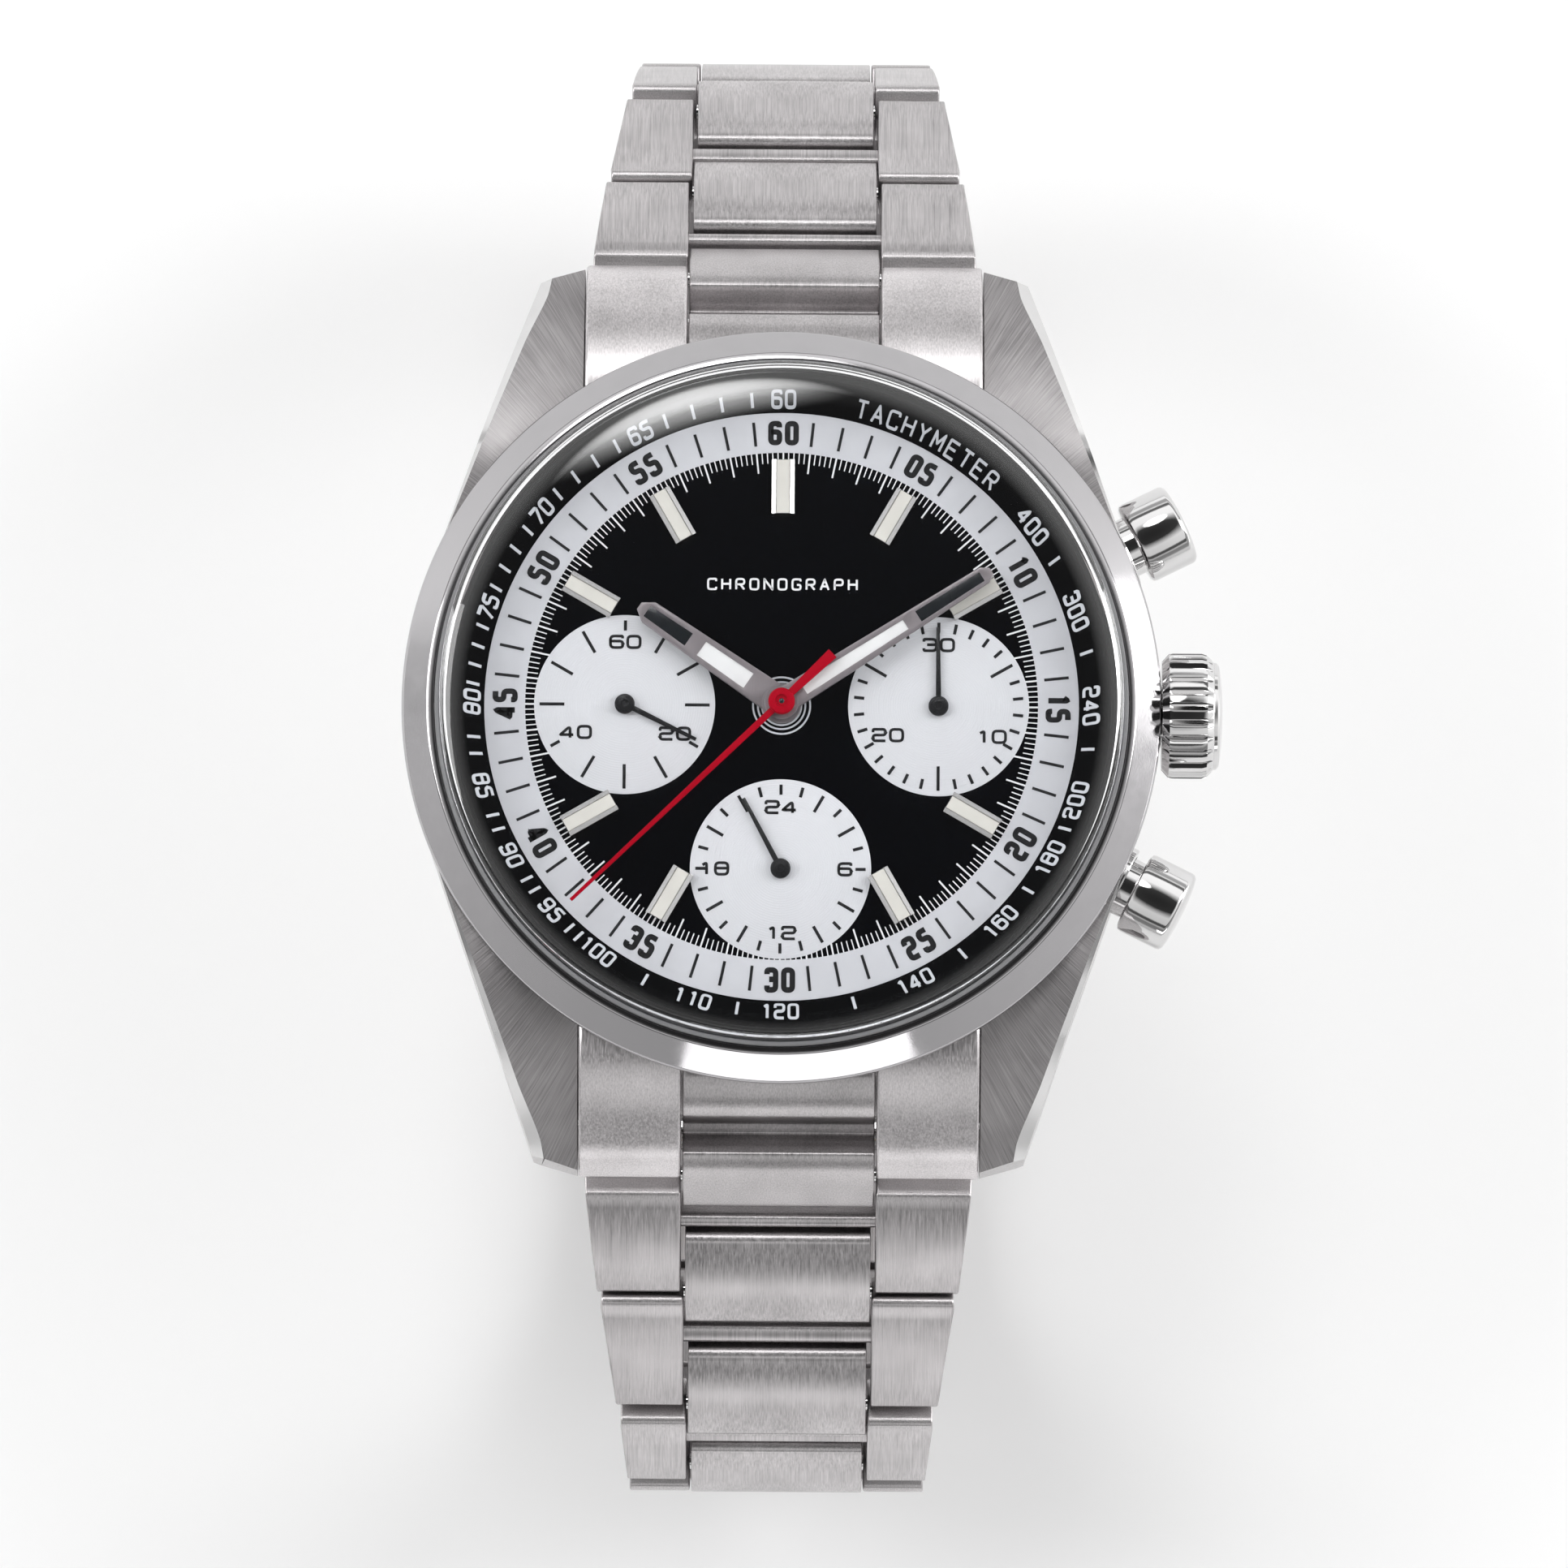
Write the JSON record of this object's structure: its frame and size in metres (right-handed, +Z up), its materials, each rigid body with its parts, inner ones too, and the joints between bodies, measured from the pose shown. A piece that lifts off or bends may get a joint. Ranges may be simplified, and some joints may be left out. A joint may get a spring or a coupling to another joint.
{
  "type": "chronograph wristwatch",
  "caption": "Round steel chronograph watch with domed crystal, tachymeter ring, white subdials, crown and two pushers, on a tapering steel link bracelet with a folding clasp.",
  "frame": {"origin": "middle of the clasp's flat outer face, which the closed watch stands on, straight under the middle of the dial", "axes": "+Z up through the dial and out of the crystal, +Y towards 12 o'clock, +X towards 3 o'clock and the crown"},
  "size_m": [0.0411, 0.0744, 0.0459],
  "materials": {
    "brushed_steel": "fine brushing along the bracelet, sunburst on the lugs",
    "polished_steel": "mirror polish",
    "sapphire": "clear, domed, polished",
    "mineral_glass": "clear, flat, polished",
    "gasket_white": "translucent white nylon",
    "track_black": "satin black with white print",
    "dial_lacquer": "gloss black lacquer with white tracks and white subdials",
    "hand_satin": "satin, with white lume and black windows",
    "red_paint": "satin red",
    "black_paint": "satin black",
    "movement_plate": "rhodium plate with striped finish",
    "movement_steel": "circular grained steel",
    "gilt_brass": "gilt, fine grained"
  },
  "bodies": {
    "head": {"case_middle": "brushed_steel", "bezel": "polished_steel", "crystal": "sapphire", "crystal_gasket": "gasket_white", "tachymeter_ring": "track_black", "dial": "dial_lacquer", "caseback": "brushed_steel", "caseback_crystal": "mineral_glass", "movement_holder": "gasket_white", "main_plate": "movement_plate", "train_bridge": "movement_plate", "balance_cock": "movement_plate", "end_link_12": "brushed_steel", "end_link_6": "brushed_steel", "spring_bar_12": "polished_steel", "spring_bar_6": "polished_steel"},
    "minute": {"minute_hand": "hand_satin"},
    "hour": {"hour_hand": "hand_satin"},
    "hour_24": {"hour_24_hand": "black_paint"},
    "small_seconds": {"small_seconds_hand": "black_paint", "fourth_wheel": "gilt_brass"},
    "centre_wheel": {"centre_wheel": "gilt_brass"},
    "third_wheel": {"third_wheel": "gilt_brass"},
    "barrel": {"barrel": "gilt_brass"},
    "escape_wheel": {"escape_wheel": "movement_steel"},
    "pallet_fork": {"pallet_fork": "movement_steel"},
    "balance": {"balance_wheel": "gilt_brass"},
    "chronograph": {"chronograph_seconds_hand": "red_paint", "chronograph_wheel": "gilt_brass"},
    "minute_counter": {"minute_counter_hand": "black_paint", "minute_counter_wheel": "gilt_brass"},
    "column_wheel": {"column_wheel": "movement_steel"},
    "setting_lever": {"setting_lever": "polished_steel"},
    "crown": {"crown": "polished_steel", "winding_stem": "polished_steel"},
    "crown_wheel": {"crown_wheel": "movement_steel"},
    "ratchet_wheel": {"ratchet_wheel": "movement_steel"},
    "pusher_start": {"pusher_start": "polished_steel"},
    "pusher_reset": {"pusher_reset": "polished_steel"},
    "link_12_1": {"link_12_1": "brushed_steel"},
    "link_12_2": {"link_12_2": "brushed_steel"},
    "link_12_3": {"link_12_3": "brushed_steel"},
    "link_12_4": {"link_12_4": "brushed_steel"},
    "link_12_5": {"link_12_5": "brushed_steel"},
    "link_12_6": {"link_12_6": "brushed_steel"},
    "link_12_7": {"link_12_7": "brushed_steel"},
    "link_6_1": {"link_6_1": "brushed_steel"},
    "link_6_2": {"link_6_2": "brushed_steel"},
    "link_6_3": {"link_6_3": "brushed_steel"},
    "link_6_4": {"link_6_4": "brushed_steel"},
    "link_6_5": {"link_6_5": "brushed_steel"},
    "link_6_6": {"link_6_6": "brushed_steel"},
    "link_6_7": {"link_6_7": "brushed_steel"},
    "clasp_inner": {"clasp_blade_inner": "polished_steel"},
    "clasp_outer": {"clasp_blade_outer": "polished_steel"},
    "clasp_cover": {"clasp_cover": "brushed_steel", "clasp_spring_bar": "polished_steel"},
    "clasp_button_right": {"clasp_button_right": "polished_steel"},
    "clasp_button_left": {"clasp_button_left": "polished_steel"}
  },
  "joints": [
    {"name": "minute_hand_turn", "type": "hinge", "parent": "head", "child": "minute", "pos_m": [0, 0, 0.04189], "axis": [0, 0, -1], "continuous": true},
    {"name": "hour_hand_turn", "type": "hinge", "parent": "head", "child": "hour", "pos_m": [0, 0, 0.04189], "axis": [0, 0, -1], "continuous": true},
    {"name": "hour_24_hand_turn", "type": "hinge", "parent": "head", "child": "hour_24", "pos_m": [0, -0.0082, 0.04189], "axis": [0, 0, -1], "continuous": true},
    {"name": "small_seconds_turn", "type": "hinge", "parent": "head", "child": "small_seconds", "pos_m": [-0.0078, 0, 0.04189], "axis": [0, 0, -1], "continuous": true},
    {"name": "third_wheel_turn", "type": "hinge", "parent": "head", "child": "third_wheel", "pos_m": [-0.0046, 0.0026, 0.03889], "axis": [0, 0, 1], "continuous": true},
    {"name": "centre_wheel_turn", "type": "hinge", "parent": "head", "child": "centre_wheel", "pos_m": [0, 0, 0.03889], "axis": [0, 0, -1], "continuous": true},
    {"name": "barrel_turn", "type": "hinge", "parent": "head", "child": "barrel", "pos_m": [0.00385, 0.00492, 0.03889], "axis": [0, 0, 1], "continuous": true},
    {"name": "escape_wheel_turn", "type": "hinge", "parent": "head", "child": "escape_wheel", "pos_m": [-0.0094, -0.00365, 0.03839], "axis": [0, 0, 1], "continuous": true},
    {"name": "pallet_fork_rock", "type": "hinge", "parent": "head", "child": "pallet_fork", "pos_m": [-0.00783, -0.0056, 0.03839], "axis": [0, 0, 1], "range_deg": [-5, 5]},
    {"name": "balance_swing", "type": "hinge", "parent": "head", "child": "balance", "pos_m": [-0.0046, -0.0096, 0.03689], "axis": [0, 0, 1], "range_deg": [-270, 270], "stiffness_Nm_per_rad": 0.00002},
    {"name": "chronograph_turn", "type": "hinge", "parent": "head", "child": "chronograph", "pos_m": [0, 0, 0.04189], "axis": [0, 0, -1], "continuous": true},
    {"name": "minute_counter_turn", "type": "hinge", "parent": "head", "child": "minute_counter", "pos_m": [0.0078, 0, 0.04189], "axis": [0, 0, -1], "continuous": true},
    {"name": "column_wheel_turn", "type": "hinge", "parent": "head", "child": "column_wheel", "pos_m": [0.0064, -0.0096, 0.03639], "axis": [0, 0, 1], "continuous": true},
    {"name": "crown_pull", "type": "slide", "parent": "head", "child": "setting_lever", "axis": [1, 0, 0], "range_m": [0, 0.0009]},
    {"name": "crown_turn", "type": "hinge", "parent": "setting_lever", "child": "crown", "pos_m": [0.015, 0, 0.03969], "axis": [1, 0, 0], "continuous": true},
    {"name": "crown_wheel_turn", "type": "hinge", "parent": "head", "child": "crown_wheel", "pos_m": [0.01, 0.0023, 0.03649], "axis": [0, 0, -1], "continuous": true},
    {"name": "ratchet_wheel_turn", "type": "hinge", "parent": "head", "child": "ratchet_wheel", "pos_m": [0.00385, 0.00492, 0.03649], "axis": [0, 0, 1], "continuous": true},
    {"name": "pusher_start_press", "type": "slide", "parent": "head", "child": "pusher_start", "axis": [-0.8957, -0.4446, 0], "range_m": [0, 0.0005], "stiffness_N_per_m": 3000},
    {"name": "pusher_reset_press", "type": "slide", "parent": "head", "child": "pusher_reset", "axis": [-0.8957, 0.4446, 0], "range_m": [0, 0.0005], "stiffness_N_per_m": 3000},
    {"name": "bracelet_12_open", "type": "hinge", "parent": "head", "child": "link_12_1", "pos_m": [0, 0.02275, 0.03589], "axis": [1, 0, 0], "range_deg": [0, 41]},
    {"name": "link_12_2_bend", "type": "hinge", "parent": "link_12_1", "child": "link_12_2", "pos_m": [0, 0.02811, 0.03123], "axis": [1, 0, 0], "range_deg": [0, 2.01]},
    {"name": "link_12_3_bend", "type": "hinge", "parent": "link_12_2", "child": "link_12_3", "pos_m": [0, 0.0333, 0.02639], "axis": [1, 0, 0], "range_deg": [0, 27.01]},
    {"name": "link_12_4_bend", "type": "hinge", "parent": "link_12_3", "child": "link_12_4", "pos_m": [0, 0.03573, 0.01972], "axis": [1, 0, 0], "range_deg": [0, 29.01]},
    {"name": "link_12_5_bend", "type": "hinge", "parent": "link_12_4", "child": "link_12_5", "pos_m": [0, 0.03462, 0.0127], "axis": [1, 0, 0], "range_deg": [0, 27.01]},
    {"name": "link_12_6_bend", "type": "hinge", "parent": "link_12_5", "child": "link_12_6", "pos_m": [0, 0.03045, 0.00696], "axis": [1, 0, 0], "range_deg": [0, 24.01]},
    {"name": "link_12_7_bend", "type": "hinge", "parent": "link_12_6", "child": "link_12_7", "pos_m": [0, 0.0243, 0.00341], "axis": [1, 0, 0], "range_deg": [0, 21.01]},
    {"name": "bracelet_6_open", "type": "hinge", "parent": "head", "child": "link_6_1", "pos_m": [0, -0.02275, 0.03589], "axis": [-1, 0, 0], "range_deg": [0, 41]},
    {"name": "link_6_2_bend", "type": "hinge", "parent": "link_6_1", "child": "link_6_2", "pos_m": [0, -0.02811, 0.03123], "axis": [-1, 0, 0], "range_deg": [0, 2.01]},
    {"name": "link_6_3_bend", "type": "hinge", "parent": "link_6_2", "child": "link_6_3", "pos_m": [0, -0.0333, 0.02639], "axis": [-1, 0, 0], "range_deg": [0, 27.01]},
    {"name": "link_6_4_bend", "type": "hinge", "parent": "link_6_3", "child": "link_6_4", "pos_m": [0, -0.03573, 0.01972], "axis": [-1, 0, 0], "range_deg": [0, 29.01]},
    {"name": "link_6_5_bend", "type": "hinge", "parent": "link_6_4", "child": "link_6_5", "pos_m": [0, -0.03462, 0.0127], "axis": [-1, 0, 0], "range_deg": [0, 27.01]},
    {"name": "link_6_6_bend", "type": "hinge", "parent": "link_6_5", "child": "link_6_6", "pos_m": [0, -0.03045, 0.00696], "axis": [-1, 0, 0], "range_deg": [0, 24.01]},
    {"name": "link_6_7_bend", "type": "hinge", "parent": "link_6_6", "child": "link_6_7", "pos_m": [0, -0.0243, 0.00341], "axis": [-1, 0, 0], "range_deg": [0, 21.01]},
    {"name": "clasp_pin_bend", "type": "hinge", "parent": "link_12_7", "child": "clasp_inner", "pos_m": [0, 0.01728, 0.0023], "axis": [1, 0, 0], "range_deg": [0, 9.01]},
    {"name": "clasp_unfold", "type": "hinge", "parent": "clasp_inner", "child": "clasp_outer", "pos_m": [0, -0.0142, 0.00255], "axis": [-1, 0, 0], "range_deg": [0, 135]},
    {"name": "clasp_cover_unfold", "type": "hinge", "parent": "clasp_outer", "child": "clasp_cover", "pos_m": [0, 0.0142, 0.0019], "axis": [1, 0, 0], "range_deg": [0, 135]},
    {"name": "clasp_button_right_press", "type": "slide", "parent": "clasp_cover", "child": "clasp_button_right", "axis": [-1, 0, 0], "range_m": [0, 0.0006], "stiffness_N_per_m": 1500},
    {"name": "clasp_button_left_press", "type": "slide", "parent": "clasp_cover", "child": "clasp_button_left", "axis": [1, 0, 0], "range_m": [0, 0.0006], "stiffness_N_per_m": 1500}
  ],
  "couplings": [
    {"joint": "hour_hand_turn", "follows": "minute_hand_turn", "ratio": 0.083333},
    {"joint": "hour_24_hand_turn", "follows": "minute_hand_turn", "ratio": 0.041667},
    {"joint": "third_wheel_turn", "follows": "small_seconds_turn", "ratio": 0.13333},
    {"joint": "centre_wheel_turn", "follows": "small_seconds_turn", "ratio": 0.016667},
    {"joint": "barrel_turn", "follows": "small_seconds_turn", "ratio": 0.0020833},
    {"joint": "escape_wheel_turn", "follows": "small_seconds_turn", "ratio": 12},
    {"joint": "minute_counter_turn", "follows": "chronograph_turn", "ratio": 0.033333},
    {"joint": "crown_wheel_turn", "follows": "crown_turn", "ratio": 0.5},
    {"joint": "ratchet_wheel_turn", "follows": "crown_turn", "ratio": 0.40625},
    {"joint": "link_12_2_bend", "follows": "bracelet_12_open", "ratio": 0.04878},
    {"joint": "link_12_3_bend", "follows": "bracelet_12_open", "ratio": 0.65854},
    {"joint": "link_12_4_bend", "follows": "bracelet_12_open", "ratio": 0.70732},
    {"joint": "link_12_5_bend", "follows": "bracelet_12_open", "ratio": 0.65854},
    {"joint": "link_12_6_bend", "follows": "bracelet_12_open", "ratio": 0.58537},
    {"joint": "link_12_7_bend", "follows": "bracelet_12_open", "ratio": 0.5122},
    {"joint": "link_6_2_bend", "follows": "bracelet_6_open", "ratio": 0.04878},
    {"joint": "link_6_3_bend", "follows": "bracelet_6_open", "ratio": 0.65854},
    {"joint": "link_6_4_bend", "follows": "bracelet_6_open", "ratio": 0.70732},
    {"joint": "link_6_5_bend", "follows": "bracelet_6_open", "ratio": 0.65854},
    {"joint": "link_6_6_bend", "follows": "bracelet_6_open", "ratio": 0.58537},
    {"joint": "link_6_7_bend", "follows": "bracelet_6_open", "ratio": 0.5122},
    {"joint": "clasp_pin_bend", "follows": "bracelet_12_open", "ratio": 0.21951},
    {"joint": "clasp_cover_unfold", "follows": "clasp_unfold", "ratio": 1}
  ]
}
